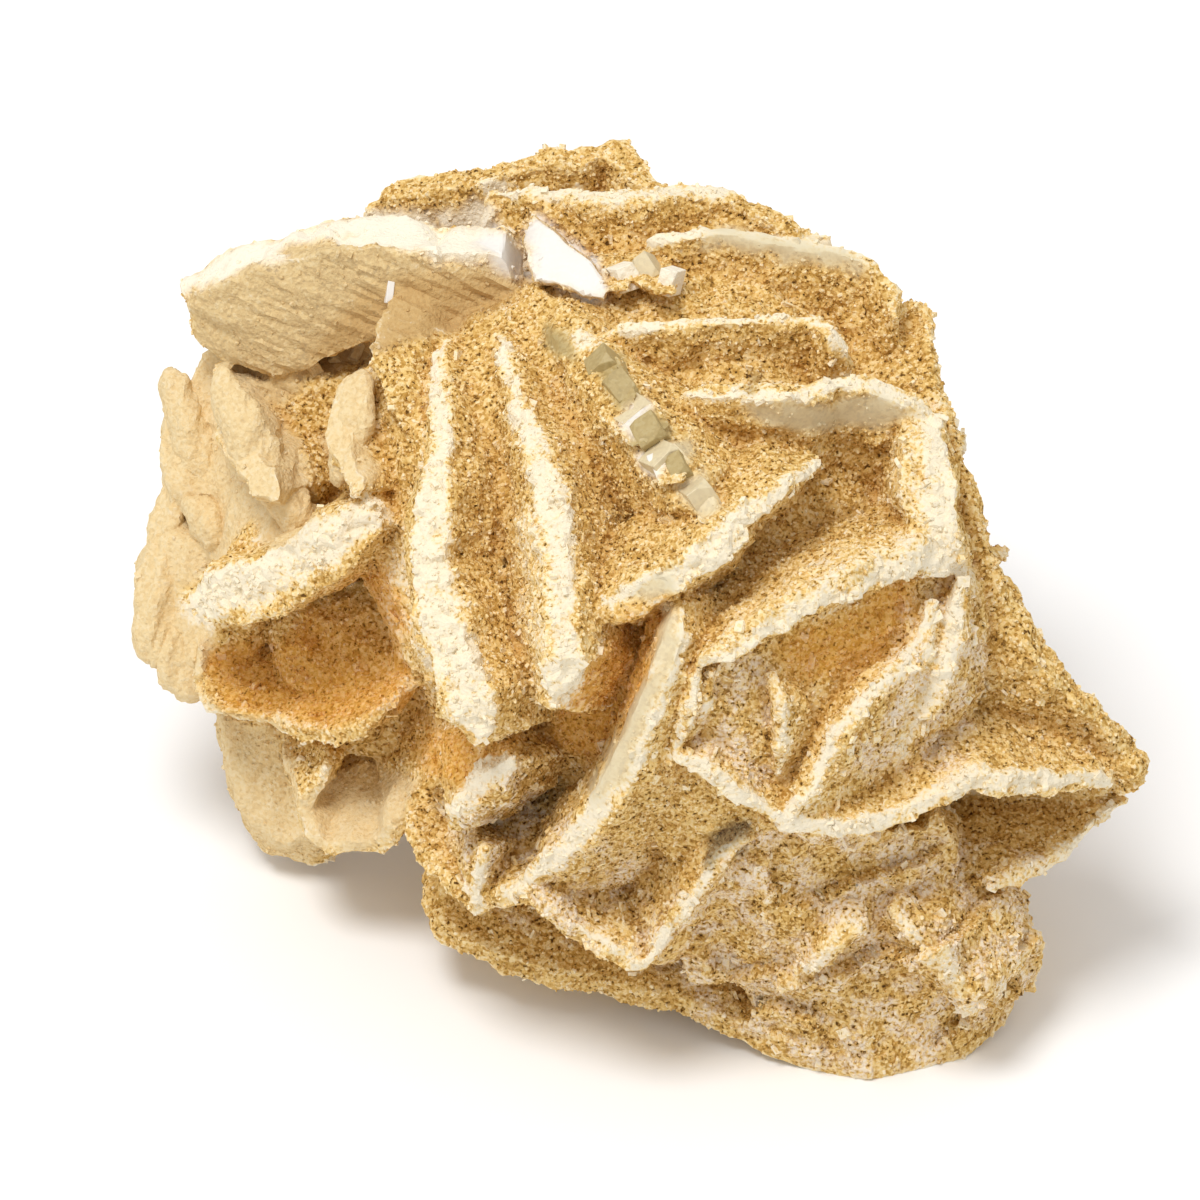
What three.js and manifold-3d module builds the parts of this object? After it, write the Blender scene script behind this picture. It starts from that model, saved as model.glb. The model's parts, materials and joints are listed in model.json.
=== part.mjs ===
// A gypsum sand rose: one stone of flat gypsum blades that grew through each other in wet sand.
// Its blades are laid out as seen from the show side, then turned into the part's frame.
import * as THREE from "three";
import { ConvexGeometry } from "three/addons/geometries/ConvexGeometry.js";
import { mergeVertices } from "three/addons/utils/BufferGeometryUtils.js";
import Module from "manifold-3d";

const wasm = await Module();
wasm.setup();

// Driving dimensions, in millimetres and degrees
const SHOW_ELEVATION = 40; // the show side is looked at from this far above the horizon
const CENTRE_HEIGHT = 34.5; // middle of the stone above the surface it rests on
const DOME = { right: 4, up: 2, halfWidth: 46, halfHeight: 38, depth: 34, edgeAngle: 81 };
const MATRIX = { front: 27, back: 32, steps: 8, hourSteps: 2 };
const MATRIX_REACH = [36, 33, 29, 29, 31, 31, 27, 25, 27, 31, 40, 37]; // from 12 o'clock, clockwise
const FOOT = { x: 4, y: -2, z: 12, halfWidth: 22, halfDepth: 21, halfHeight: 18, detail: 2 };
const THIN_END = 0.4; // a rim's thickness at both ends, as a share of its middle
const UNEVEN = 0.22; // how much a rim's thickness wanders along it
// Petals on the hidden side
const BACK = { count: 36, radius: 11, growth: 5, thick: 4.6, widest: 104, rise: 2.5 };
const FLOOR_CUT = { side: 300, depth: 60 };

const SHOW = THREE.MathUtils.degToRad(SHOW_ELEVATION);
const HERE = new THREE.Matrix4();
const toPartFrame = new THREE.Matrix4()
  .makeRotationX(Math.PI / 2 - SHOW)
  .setPosition(0, 0, CENTRE_HEIGHT);

// Places in the layout: right, up and towards the viewer, from the middle of the stone
function domeDepth(right, up) {
  const across = (right - DOME.right) / DOME.halfWidth;
  const along = (up - DOME.up) / DOME.halfHeight;
  return DOME.depth * Math.cos(Math.hypot(across, along) * THREE.MathUtils.degToRad(DOME.edgeAngle));
}

function at(...places) {
  return places.map((place) => new THREE.Vector3(...place));
}

// Places that stand out from the dome by a given height
function proud(...places) {
  return places.map(([right, up, out]) => new THREE.Vector3(right, up, domeDepth(right, up) + out));
}

// Places at a given height above the surface that the stone rests on
function overFloor(...places) {
  return places.map(([right, up, height]) => {
    const depth = (height - CENTRE_HEIGHT - up * Math.cos(SHOW)) / Math.sin(SHOW);
    return new THREE.Vector3(right, up, depth);
  });
}

// A closed triangle mesh as a solid in the part's frame
function solidOf(geometry, matrix = toPartFrame) {
  const bare = new THREE.BufferGeometry();
  bare.setAttribute("position", geometry.getAttribute("position").clone());
  bare.setIndex(geometry.getIndex());
  const merged = mergeVertices(bare.applyMatrix4(matrix), 1e-4);
  return new wasm.Manifold(
    new wasm.Mesh({
      numProp: 3,
      vertProperties: merged.getAttribute("position").array,
      triVerts: new Uint32Array(merged.getIndex().array),
    }),
  );
}

function indexed(positions, faces) {
  const geometry = new THREE.BufferGeometry();
  geometry.setAttribute("position", new THREE.Float32BufferAttribute(positions, 3));
  geometry.setIndex(faces);
  return geometry;
}

const quad = (a, b, c, d) => [a, b, c, a, c, d];

// A wedge-shaped blade: a rim that shows, and two faces that run from it to its heart in the stone
function blade({ rim, into, depth, heart, edge, endEdge = edge, root, thinEnd = THIN_END }) {
  const positions = [];
  rim.forEach((point, i) => {
    const inner = heart ? heart[i] : point.clone().add(new THREE.Vector3(...into).setLength(depth));
    const before = rim[Math.max(i - 1, 0)];
    const after = rim[Math.min(i + 1, rim.length - 1)];
    const across = after.clone().sub(before).cross(inner.clone().sub(point)).normalize();
    const end = i === 0 || i === rim.length - 1 ? thinEnd : 1;
    const wide = THREE.MathUtils.lerp(edge, endEdge, i / (rim.length - 1));
    const thick = wide * end * (1 + UNEVEN * Math.sin(2.1 * i + point.x));
    const thickRoot = root * (1 + end) / 2;
    for (const [middle, width] of [[point, thick], [inner, thickRoot]]) {
      positions.push(...middle.clone().addScaledVector(across, width / 2));
      positions.push(...middle.clone().addScaledVector(across, -width / 2));
    }
  });
  const section = [0, 1, 3, 2]; // the corners of one cross-section, in order round it
  const faces = [];
  for (let i = 0; i + 1 < rim.length; i++) {
    section.forEach((corner, k) => {
      const next = section[(k + 1) % section.length];
      const start = 4 * i;
      faces.push(...quad(start + corner, start + next, start + 4 + next, start + 4 + corner));
    });
  }
  const last = 4 * (rim.length - 1);
  faces.push(...quad(...section.slice().reverse()));
  faces.push(...quad(...section.map((corner) => last + corner)));
  return solidOf(indexed(positions, faces));
}

// A broken crystal with flat faces, spanned between its corners
function crystal(corners) {
  return solidOf(mergeVertices(new ConvexGeometry(corners).deleteAttribute("normal"), 1e-4));
}

// A flat chip that faces the viewer, sunk into the stone by its thickness
function chip({ outline, thick, lean = [0, 0] }) {
  const middle = outline.reduce((sum, p) => sum.add(p), new THREE.Vector3()).divideScalar(outline.length);
  const deep = outline.map((p) =>
    p.clone().lerp(middle, 0.12).add(new THREE.Vector3(lean[0], lean[1], -thick)),
  );
  return crystal([...outline, ...deep]);
}

// A rounded petal: a flat lens with a blunt rim
function petal({ centre, facing, radius, thick, squash = 1, sides = 12, phase = 0 }) {
  const turn = new THREE.Quaternion().setFromUnitVectors(
    new THREE.Vector3(0, 0, 1),
    new THREE.Vector3(...facing).normalize(),
  );
  const corners = [];
  for (const [share, height] of [[0.74, 0.5], [1, 0], [0.74, -0.5]]) {
    for (let k = 0; k < sides; k++) {
      const angle = (2 * Math.PI * (k + 0.5 * (share < 1))) / sides;
      const reach = radius * share * (1 + 0.07 * Math.sin(3 * angle + phase));
      const across = reach * squash * Math.cos(angle);
      const corner = new THREE.Vector3(across, reach * Math.sin(angle), height * thick);
      corners.push(corner.applyQuaternion(turn).add(centre));
    }
  }
  return crystal(corners);
}

const BLADES = [
  // The crown: petals that stand up along the top
  {
    rim: proud([-27.6, 40.8, -2], [-25, 42.2, -1], [-15, 43.8, 0], [-9, 45.4, 0], [-6, 45.2, 0],
      [-2.7, 46.2, 0], [0.2, 43, 0], [4, 41, -1]),
    into: [0, -0.85, -0.5], depth: 18, edge: 3, root: 7,
  },
  {
    rim: proud([-15.3, 41.8, 3], [-10, 41.8, 3.5], [-5, 41.4, 4], [0, 41.2, 4], [4, 42, 3],
      [8, 41.5, 2], [11, 40.3, 1], [14, 38.5, 1], [16, 37, 0]),
    into: [0, -0.85, -0.5], depth: 16, edge: 2.6, root: 8,
  },
  {
    rim: proud([0.5, 36.8, 3], [4, 37.1, 4], [8, 37.5, 4], [13, 37, 4], [17, 36.3, 4], [20, 35.7, 4],
      [23, 34.4, 4], [24.6, 32.2, 3], [25.3, 29, 2]),
    into: [-0.1, -0.8, -0.6], depth: 16, edge: 1.6, root: 8,
  },
  {
    rim: proud([-5.5, 26.6, 1], [-2.5, 28.2, 3], [2, 28.1, 4], [6, 28.6, 4], [10, 29, 4], [14, 29.1, 4],
      [17, 28.9, 4], [18.8, 27.4, 4], [20.5, 25.6, 2]),
    into: [0, -0.66, -0.75], depth: 14, edge: 1.4, root: 9,
  },
  {
    rim: proud([3.5, 20.8, 2], [7, 21.6, 4], [10, 21.8, 5], [14, 21.7, 6], [17, 21.9, 6], [19, 22.7, 6],
      [21.5, 22.6, 6], [24, 21.7, 6], [27, 20.6, 6], [29.3, 19.4, 5]),
    into: [-0.1, -0.6, -0.8], depth: 13, edge: 1.8, root: 6,
  },
  // The big plate at the upper left
  {
    rim: at([-45.6, 31.4, 0], [-42, 34, 2.5], [-36, 35.8, 5], [-31, 37.4, 7], [-26, 37.6, 8.5], [-20, 37, 10],
      [-13.4, 37, 11]),
    heart: at([-44, 28.4, -3], [-40, 26, -3], [-35.5, 24.6, -1.5], [-30, 27, 2], [-25, 28.2, 4.5],
      [-19, 30.2, 7], [-11.6, 33.4, 8]),
    edge: 7, root: 6.4, thinEnd: 0.8,
  },
  // The flank behind the pocket
  {
    rim: proud([25.6, 28.8, -1], [27.6, 29.7, -1], [29, 29.6, -1], [29.2, 26, -1], [30.3, 21, -1],
      [31.8, 15.6, -1], [33.7, 10, -1], [34.2, 6, -1], [36.8, 2.2, -1], [38.8, -2, 0]),
    into: [-0.85, -0.1, -0.5], depth: 20, edge: 1.6, root: 12,
  },
  // The pocket on the right
  {
    rim: proud([27.8, 19.6, 5], [27.9, 16, 6], [28.2, 12, 6], [29, 8, 6], [30.6, 4.4, 5]),
    into: [-0.1, 0, -1], depth: 13, edge: 5, root: 8, thinEnd: 0.7,
  },
  {
    rim: proud([5.6, -5.4, 4], [8.4, -3.8, 5], [12.2, -1.6, 5], [16, 0.6, 5], [20, 2.4, 5], [24, 4, 5],
      [27.4, 5, 5.5], [30.4, 5, 5], [33, 4, 3]),
    into: [-0.1, 0.22, -0.97], depth: 13, edge: 2.6, endEdge: 3.6, root: 7,
  },
  {
    rim: proud([-4.6, -0.6, 3], [-1, 1, 4], [2, 2.8, 5], [4.8, 4.2, 6], [7.6, 6.2, 6], [9.8, 8.6, 6]),
    into: [-0.1, 0.15, -1], depth: 12, edge: 2.4, endEdge: 4.6, root: 10, thinEnd: 0.7,
  },
  {
    rim: proud([7.4, 7, 6], [10.2, 9.4, 6], [14, 12, 5], [17.5, 14.2, 2]),
    into: [-0.1, 0.15, -1], depth: 12, edge: 2.6, endEdge: 1.4, root: 9,
  },
  // The glassy broken chain and the two long ridges
  {
    rim: proud([-11, 31.5, -1], [-9, 29.3, 0], [-7, 27.2, 2], [-4.8, 24, 3], [-2.6, 20, 4], [0, 17.6, 4],
      [2.6, 14.4, 4], [5, 11.6, 4], [7.2, 9.6, 3]),
    into: [0.1, -0.1, -1], depth: 11, edge: 3.2, root: 15,
  },
  {
    rim: proud([-19.4, 27.6, -1], [-19.9, 24, 1], [-20, 20, 3], [-20, 16, 4], [-20.3, 12, 5], [-20.9, 8, 5],
      [-21, 4, 5], [-20.2, 0, 6], [-18.6, -4.5, 7], [-17, -9, 8], [-15.4, -12.8, 8]),
    into: [0.3, 0.1, -0.95], depth: 14, edge: 1.3, endEdge: 5.4, root: 13,
  },
  {
    rim: proud([-13.5, 27.5, 0], [-12.7, 23.6, 1], [-11.8, 19.6, 2], [-10.5, 16, 3], [-9.3, 12, 4],
      [-8.7, 8, 5], [-8.2, 4, 6], [-7.6, 0, 7], [-7.6, -4.4, 8], [-8.6, -9.8, 8]),
    into: [0.1, 0.1, -1], depth: 13, edge: 1.1, endEdge: 3.8, root: 13,
  },
  // The blades below the middle
  {
    rim: proud([4, 1, 3], [3, -2.4, 4], [1.6, -6.5, 5], [0, -11, 5], [-1.4, -15, 5], [-3.2, -18.8, 5],
      [-6, -22.2, 5], [-9, -25, 5], [-13, -28.5, 4]),
    into: [0.3, 0.1, -0.95], depth: 12, edge: 2.4, root: 12,
  },
  {
    rim: proud([5.4, -5.8, 4], [4.6, -9, 4], [3.7, -12, 4], [2.6, -15.6, 3]),
    into: [0.1, 0, -1], depth: 8, edge: 0.9, root: 5,
  },
  {
    rim: proud([7.4, -6.2, 3], [6.2, -9, 3], [5, -12, 2]),
    into: [0.1, 0, -1], depth: 7, edge: 0.8, root: 4,
  },
  {
    rim: proud([2.6, -14.6, 4], [6, -15.6, 5], [9, -17.7, 6], [11.5, -19.1, 6], [14.2, -21, 7]),
    into: [0.15, 0.45, -0.88], depth: 11, edge: 1.6, root: 8,
  },
  {
    rim: proud([12.8, -5.8, 2], [13.6, -9, 4], [13.4, -12, 4], [13.7, -16.6, 3]),
    into: [0.25, 0, -0.97], depth: 8, edge: 1, root: 6,
  },
  {
    rim: proud([14.6, -21, 7], [16.2, -18.2, 6], [18.2, -14.8, 5], [20.5, -10.8, 5], [22.4, -8.8, 5],
      [25, -6, 4], [27.6, -3, 3], [28.8, 1, 3]),
    into: [0, -0.1, -1], depth: 11, edge: 1.4, root: 13,
  },
  {
    rim: proud([25.6, -15, 1], [27, -12, 2], [28.5, -9, 3], [29.8, -6, 4], [31, -2, 4], [32, 3.2, 4]),
    into: [-0.1, 0, -1], depth: 10, edge: 1.6, root: 11,
  },
  // The wing on the right
  {
    rim: proud([14.2, -21.4, 7], [20, -21.6, 7], [25, -20.8, 7], [29, -19, 7], [33, -17.2, 8], [36, -17.4, 9],
      [40, -17.2, 9], [44, -17.1, 9], [47, -17.1, 9]),
    into: [-0.3, 0.45, -0.84], depth: 14, edge: 2, root: 9,
  },
  {
    rim: proud([34.5, 5, 0], [38.5, -2.2, 2], [41, -6, 3], [44, -8.8, 4], [46.6, -11.2, 6], [49, -13.4, 7],
      [50, -15.2, 8], [49.9, -17.4, 8]),
    into: [-0.8, -0.15, -0.58], depth: 24, edge: 2.5, root: 12,
  },
  {
    rim: proud([48.8, -18.6, 6], [46.4, -20.4, 5], [43.5, -23.2, 5], [40.6, -25.2, 6], [37.5, -26.7, 7],
      [34.5, -27.8, 8]),
    into: [-0.5, 0.45, -0.75], depth: 14, edge: 1.5, root: 6,
  },
  {
    rim: proud([29.3, -20.6, 2], [30.8, -22.8, 3], [30.8, -24.8, 3], [29.4, -25.8, 3], [28.4, -28, 3],
      [27, -30, 2]),
    into: [-0.3, 0, -0.95], depth: 8, edge: 0.9, root: 8,
  },
  // The heel at the lower right
  {
    rim: at([14, -37.6, 9], [17, -35.3, 14], [19, -33.4, 16], [21.3, -31.4, 17], [22.2, -29.4, 15]),
    into: [-0.1, 0.3, -0.95], depth: 11, edge: 1.2, root: 13,
  },
  {
    rim: at([24.6, -29.4, 15], [27, -32, 16], [29, -34, 15], [31, -36.2, 13], [32.4, -38.2, 11],
      [33.4, -40.6, 7]),
    into: [0.1, 0.25, -0.96], depth: 11, edge: 1.4, root: 15,
  },
  {
    rim: overFloor([37.4, -31.4, 13], [38.5, -32.8, 11], [38, -35, 9.5], [36.6, -37, 9], [34.4, -39, 9]),
    into: [-0.35, 0.35, -0.87], depth: 14, edge: 1.4, root: 10,
  },
  // The foot plate along the bottom
  {
    rim: overFloor([-22, -29.2, 10], [-20.2, -32, 9], [-18, -33.6, 8], [-14, -35.5, 7], [-9, -37, 6],
      [-5, -37.6, 5], [0, -39.1, 5], [3, -39, 5], [7, -40.8, 4], [13, -43.6, 2.5], [19, -45.6, 1.2],
      [23, -46.6, 0.8]),
    into: [0.1, 0.75, -0.66], depth: 24, edge: 3, root: 14,
  },
  // The lobes at the lower middle
  {
    rim: proud([-12.6, -14.6, 3], [-15, -16.8, 4], [-17.4, -19, 4], [-18.6, -22, 3]),
    into: [0.2, 0.3, -0.93], depth: 12, edge: 2.6, root: 12,
  },
  {
    rim: proud([-15.2, -23.6, 4], [-15.8, -26, 5], [-16.2, -29.4, 5]),
    into: [0.1, 0.2, -0.97], depth: 12, edge: 1.4, root: 11,
  },
  {
    rim: proud([-23.4, -21.6, -4], [-21, -25, -2], [-19, -27.4, 1], [-16.3, -29.6, 4], [-13, -28.8, 5],
      [-10, -28.6, 6], [-8, -30.8, 7], [-5, -33, 8], [-3.4, -33.8, 9], [-1, -35, 9], [0.6, -35.4, 9]),
    into: [0.15, 0.55, -0.83], depth: 18, edge: 1.8, root: 11,
  },
  {
    rim: proud([0.6, -35.4, 9], [2.8, -31.8, 7], [5, -28.6, 5], [7.4, -25.2, 4], [10.4, -22, 3]),
    into: [-0.1, 0.2, -0.97], depth: 13, edge: 1.4, root: 14,
  },
  // The left side: fluted blade, shelf, tongue and two small blades
  {
    rim: overFloor([-31, -15.6, 21], [-33.6, -19.6, 16], [-33.2, -22.2, 14], [-31.5, -23.8, 13],
      [-29, -23.5, 14], [-26.3, -23.9, 14], [-25, -22.6, 16], [-22, -19.8, 20], [-20, -17.4, 24],
      [-17.5, -15.2, 29]),
    into: [0.15, 0.6, -0.78], depth: 18, edge: 1.6, root: 13,
  },
  {
    rim: overFloor([-44.6, -3, 28], [-44.2, -7, 25], [-43.4, -9.6, 24], [-40, -10.5, 24], [-37, -11.4, 24],
      [-34, -12.3, 25], [-31, -12.8, 26], [-27.5, -12, 29], [-24, -8.5, 33]),
    into: [0.45, 0.55, -0.7], depth: 18, edge: 1.6, root: 7,
  },
  {
    rim: at([-44.6, 0.4, 2], [-42, 1, 6], [-38, 2, 10], [-34, 4.2, 13], [-30, 6.6, 16], [-26, 9.4, 18]),
    into: [0.3, 0.2, -0.93], depth: 14, edge: 7, root: 8,
  },
  {
    rim: proud([-42.2, 24.6, 1], [-41.8, 21, 2], [-40.8, 18, 3], [-39.2, 15, 3], [-37.8, 12.8, 3],
      [-36.2, 11.2, 2]),
    into: [0.4, 0, -0.92], depth: 14, edge: 3.2, root: 9,
  },
  {
    rim: proud([-25.8, 24.8, -1], [-27.8, 22.6, 1], [-29.4, 20.4, 2], [-29.8, 17.5, 2], [-29.4, 15, 2],
      [-28, 11.5, 1]),
    into: [0.45, 0, -0.9], depth: 12, edge: 2.4, root: 9,
  },
];

// Clean broken faces: the shard beside the big plate, two blocks below it, and the glassy chain
const CHIPS = [
  {
    outline: proud([5, -6, 2], [9, -3.6, 2], [17, 0.8, 1], [27, 4.8, 1], [27, -4, 0], [20, -11, 0],
      [14.5, -19, 3], [5, -14, 1]),
    thick: 13,
  },
  {
    outline: proud([3, -31, 1], [8, -24, 1], [15, -22.5, 2], [22, -23, 2], [20, -30, 2], [13, -37, 2],
      [5, -37, 1]),
    thick: 14,
  },
  {
    outline: proud([1, -14, 0], [8, -17, 2], [14, -19.4, 3], [22, -20.4, 3], [24, -26, 1], [15, -28, 1],
      [7, -28, 0], [1, -23, 0]),
    thick: 15,
  },
  { outline: proud([26, 4, 1.5], [33, 4.4, 1], [34.5, -2, 0.5], [31, -9, 0], [26, -3, 1]), thick: 13 },
  {
    outline: proud([-10.9, 39.5, 5], [-8, 37.4, 5], [-4.5, 34.6, 4], [-3, 32, 3], [-3.4, 30.8, 2],
      [-7, 31.6, 2], [-10.3, 33, 3], [-11.6, 37, 4]),
    thick: 12,
  },
  { outline: proud([-3.2, 34.2, 2], [-1, 34.6, 2], [-1.4, 31.6, 4], [-3, 31.6, 4]), thick: 8 },
  { outline: proud([-1, 35.2, 1], [3.2, 34.6, 1], [3.6, 30.9, 4], [1, 31.4, 4], [-0.8, 32.6, 3]), thick: 8 },
  { outline: proud([-4.6, 25, 3], [-2.4, 25, 4], [-0.2, 21.2, 5], [-2, 19.2, 4], [-3.8, 21, 4]), thick: 7 },
  { outline: proud([-2.4, 18.2, 5], [1, 20.3, 5], [3.2, 18.2, 5], [1, 16.6, 6], [-0.8, 16.2, 5]), thick: 7 },
  { outline: proud([0.4, 15.2, 5], [3.4, 16.4, 5], [5, 15, 5], [4.4, 12.8, 6], [2, 12.3, 5]), thick: 7 },
  { outline: proud([4.2, 11.5, 4], [6.4, 13, 5], [8, 11, 5], [7.4, 9.4, 5], [5.2, 9.4, 4]), thick: 7 },
];

// Smooth rounded lobes on the left
const LOBES = [
  { centre: [-31, 16, -6], facing: [-0.25, -0.1, 0.97], radius: 12, thick: 14, phase: 0.4 },
  { centre: [-31, 22.4, -8], facing: [-0.2, 0.1, 0.97], radius: 8, thick: 13, phase: 2.2 },
  { centre: [-26, -2, -10.4], facing: [-0.3, 0.3, 0.9], radius: 13, thick: 16, phase: 1.4 },
  { centre: [-43.6, 1.4, -10], facing: [-0.45, -0.1, 0.88], radius: 8.7, thick: 6, squash: 0.95, phase: 1 },
  { centre: [-42.4, 16.2, -9], facing: [-0.45, 0.1, 0.88], radius: 7.2, thick: 6, phase: 2 },
  { centre: [-40, 21.6, -9], facing: [-0.3, 0.3, 0.9], radius: 6.4, thick: 6, phase: 3 },
  {
    centre: [-33.4, -12.8, -16.6], facing: [-0.35, -0.25, 0.9],
    radius: 13.4, thick: 8, squash: 0.8, phase: 1.2,
  },
  { centre: [-39.6, 8.4, -4], facing: [-0.85, 0.2, 0.5], radius: 7, thick: 4, phase: 0.5 },
  { centre: [-37.4, 8.8, 0], facing: [-0.8, 0.3, 0.5], radius: 6, thick: 4, phase: 1.5 },
];

// The broken block that the heel's fins grow on
const HEEL = overFloor(
  [10, -32, 12], [22, -29, 18], [29, -28.6, 17], [37.6, -31, 12], [39, -33.4, 9], [38, -38.4, 4],
  [37, -41, 2], [34, -43.6, 0.5], [32.6, -44.9, 0], [28.6, -46.2, -0.4], [23.6, -47.3, -0.4], [19, -46, 0],
  [12, -43, 1.4],
  [20, -18, -6], [34, -24, -6], [8, -24, -4], [14, -23, 30], [29, -21.5, 28], [7, -29, 21],
);

// The sandy matrix that the blades grow from: rings round the line of sight, wider or narrower by the hour
function matrixMass() {
  const hours = 12 * MATRIX.hourSteps;
  const reachAt = (k) => {
    const hour = k / MATRIX.hourSteps;
    const from = MATRIX_REACH[Math.floor(hour) % 12];
    const to = MATRIX_REACH[Math.ceil(hour) % 12];
    return THREE.MathUtils.lerp(from, to, hour % 1);
  };
  const positions = [DOME.right, DOME.up, MATRIX.front];
  for (let ring = 1; ring < MATRIX.steps; ring++) {
    const tilt = (Math.PI * ring) / MATRIX.steps;
    for (let k = 0; k < hours; k++) {
      const clock = Math.PI / 2 - (2 * Math.PI * k) / hours;
      const reach = reachAt(k) * Math.sin(tilt);
      const deep = (tilt < Math.PI / 2 ? MATRIX.front : MATRIX.back) * Math.cos(tilt);
      positions.push(DOME.right + reach * Math.cos(clock), DOME.up + reach * Math.sin(clock), deep);
    }
  }
  positions.push(DOME.right, DOME.up, -MATRIX.back);
  const last = positions.length / 3 - 1;
  const faces = [];
  for (let k = 0; k < hours; k++) {
    const next = (k + 1) % hours;
    faces.push(0, 1 + next, 1 + k);
    for (let ring = 0; ring + 2 < MATRIX.steps; ring++) {
      const near = 1 + ring * hours;
      faces.push(...quad(near + k, near + next, near + hours + next, near + hours + k));
    }
    faces.push(last, last - hours + k, last - hours + next);
  }
  return solidOf(indexed(positions, faces));
}

// Petals on the hidden side, turned from one to the next so that no two stand alike
function backPetal(i) {
  const radius = BACK.radius + BACK.growth * ((i * 0.618) % 1);
  const widest = Math.cos(THREE.MathUtils.degToRad(BACK.widest));
  const tilt = Math.acos(1 - ((i + 0.5) / BACK.count) * (1 - widest));
  const clock = (i * 137.5) % 360;
  const hour = Math.floor((450 - clock) / 30) % 12;
  const reach = (MATRIX_REACH[hour] + BACK.rise - 0.9 * radius) * Math.sin(tilt);
  const angle = THREE.MathUtils.degToRad(clock);
  const outward = new THREE.Vector3(
    Math.sin(tilt) * Math.cos(angle),
    Math.sin(tilt) * Math.sin(angle),
    -Math.cos(tilt),
  );
  const centre = new THREE.Vector3(
    DOME.right + reach * Math.cos(angle),
    DOME.up + reach * Math.sin(angle),
    -(MATRIX.back + BACK.rise - 0.3 * radius) * Math.cos(tilt),
  );
  const facing = new THREE.Vector3(0, 0, 1).cross(outward).normalize().applyAxisAngle(outward, 2.4 * i);
  return petal({ centre, facing: facing.toArray(), radius, thick: BACK.thick, sides: 8, phase: i });
}

// The foot that carries the stone, cut flat where it rests
function footMass() {
  const ball = new THREE.IcosahedronGeometry(1, FOOT.detail);
  ball.scale(FOOT.halfWidth, FOOT.halfDepth, FOOT.halfHeight);
  ball.translate(FOOT.x, FOOT.y, FOOT.z);
  return solidOf(ball, HERE);
}

const belowFloor = new THREE.BoxGeometry(FLOOR_CUT.side, FLOOR_CUT.side, FLOOR_CUT.depth);
belowFloor.translate(0, 0, -FLOOR_CUT.depth / 2);

const grown = [
  footMass(),
  crystal(HEEL),
  ...Array.from({ length: BACK.count }, (_, i) => backPetal(i)),
  ...BLADES.map(blade),
  ...CHIPS.map(chip),
  ...LOBES.map((lobe) => petal({ ...lobe, centre: new THREE.Vector3(...lobe.centre) })),
].reduce((whole, piece) => whole.add(piece), matrixMass());
const stone = grown
  .subtract(solidOf(belowFloor, HERE))
  .decompose()
  .reduce((best, body) => (body.volume() > best.volume() ? body : best));

const { vertProperties, triVerts } = stone.getMesh();
const geometry = new THREE.BufferGeometry();
geometry.setAttribute("position", new THREE.BufferAttribute(vertProperties, 3));
geometry.setIndex(new THREE.BufferAttribute(triVerts, 1));
geometry.computeVertexNormals();

const sandRose = new THREE.Mesh(
  geometry,
  new THREE.MeshStandardMaterial({ color: 0xd9b27c, roughness: 0.95, metalness: 0 }),
);
sandRose.name = "sand_rose";

const group = new THREE.Group();
group.add(sandRose);
export default group;
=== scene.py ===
import json
import math
import bpy
import numpy as np
from mathutils import Matrix, Vector, noise

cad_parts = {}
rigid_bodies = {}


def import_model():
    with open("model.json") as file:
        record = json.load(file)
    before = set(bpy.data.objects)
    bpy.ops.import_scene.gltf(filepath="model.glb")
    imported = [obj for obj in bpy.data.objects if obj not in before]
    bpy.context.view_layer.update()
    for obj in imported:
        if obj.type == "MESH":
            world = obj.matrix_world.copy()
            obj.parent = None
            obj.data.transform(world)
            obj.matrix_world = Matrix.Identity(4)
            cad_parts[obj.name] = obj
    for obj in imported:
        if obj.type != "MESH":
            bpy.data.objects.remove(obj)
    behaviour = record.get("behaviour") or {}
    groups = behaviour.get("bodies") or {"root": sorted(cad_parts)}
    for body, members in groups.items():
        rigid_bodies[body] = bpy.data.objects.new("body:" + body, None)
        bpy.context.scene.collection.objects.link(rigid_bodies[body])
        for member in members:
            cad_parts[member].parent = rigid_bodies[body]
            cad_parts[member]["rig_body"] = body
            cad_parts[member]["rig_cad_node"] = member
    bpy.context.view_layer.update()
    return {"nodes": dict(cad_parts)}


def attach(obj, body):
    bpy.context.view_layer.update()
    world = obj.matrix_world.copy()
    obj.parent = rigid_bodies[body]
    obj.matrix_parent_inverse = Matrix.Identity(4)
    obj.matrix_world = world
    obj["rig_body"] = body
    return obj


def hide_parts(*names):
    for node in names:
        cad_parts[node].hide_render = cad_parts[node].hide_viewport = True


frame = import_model()
mm = 0.001
noise.seed_set(6)  # noise vectors are shifted by this seed

# The stone as seen from its show side: right, up and near, in mm from its middle
showSide = {
    "elevation": 40,
    "centreHeight": 34.5,
    "lookAt": (-4, 1),
    "frameWidth": 120,
    "distance": 2000,
    "sensor": 36,
    "clipEnd": 20,
    "dome": {"right": 4, "up": 2, "halfWidth": 46, "halfHeight": 38, "depth": 34, "edgeAngle": 81},
}


def layoutOf(points):
    tilt = math.radians(showSide["elevation"])
    x, y, z = (points / mm).T
    z = z - showSide["centreHeight"]
    return x, y * math.sin(tilt) + z * math.cos(tilt), z * math.sin(tilt) - y * math.cos(tilt)


def placeOf(right, up, near):
    tilt = math.radians(showSide["elevation"])
    y = up * math.sin(tilt) - near * math.cos(tilt)
    z = up * math.cos(tilt) + near * math.sin(tilt) + showSide["centreHeight"]
    return Vector((right, y, z)) * mm


def domeDepth(right, up):
    dome = showSide["dome"]
    across = (right - dome["right"]) / dome["halfWidth"]
    along = (up - dome["up"]) / dome["halfHeight"]
    angle = np.hypot(across, along) * math.radians(dome["edgeAngle"])
    return dome["depth"] * np.cos(np.minimum(angle, math.pi / 2))


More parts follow.
